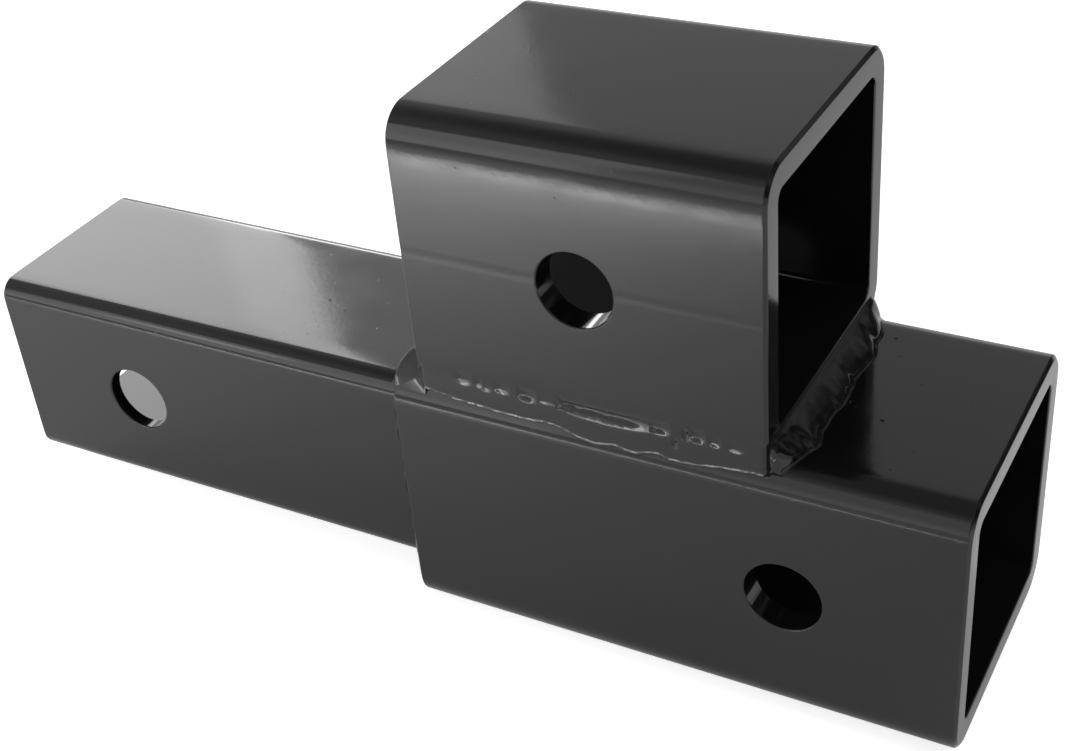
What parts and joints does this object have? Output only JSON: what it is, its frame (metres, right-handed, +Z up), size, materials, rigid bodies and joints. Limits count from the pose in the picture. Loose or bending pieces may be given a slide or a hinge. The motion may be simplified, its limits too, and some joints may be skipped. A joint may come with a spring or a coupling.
{
  "type": "raised hitch receiver adapter",
  "caption": "Welded square-tube hitch adapter: a cross-drilled shank joined to a receiver tube, with a shorter receiver tube welded on top, painted black.",
  "frame": {"origin": "middle of the shank's pin hole, on the shank's axis", "axes": "+X along the shank towards the receiver mouths, +Z up towards the upper receiver, -Y towards the pictured side"},
  "size_m": [0.2476, 0.0636, 0.1271],
  "materials": {
    "shank_paint": "gloss black paint over steel tube, with a few runs and nibs",
    "lower_receiver_paint": "gloss black paint over steel tube",
    "upper_receiver_paint": "gloss black paint over steel tube",
    "weld_paint": "thick gloss black paint over weld metal"
  },
  "bodies": {
    "root": {"shank_tube": "shank_paint", "lower_receiver_tube": "lower_receiver_paint", "upper_receiver_tube": "upper_receiver_paint", "near_groove_weld": "weld_paint", "far_groove_weld": "weld_paint", "mouth_end_weld": "weld_paint", "shank_end_weld": "weld_paint", "shank_ring_weld": "weld_paint"}
  },
  "joints": []
}
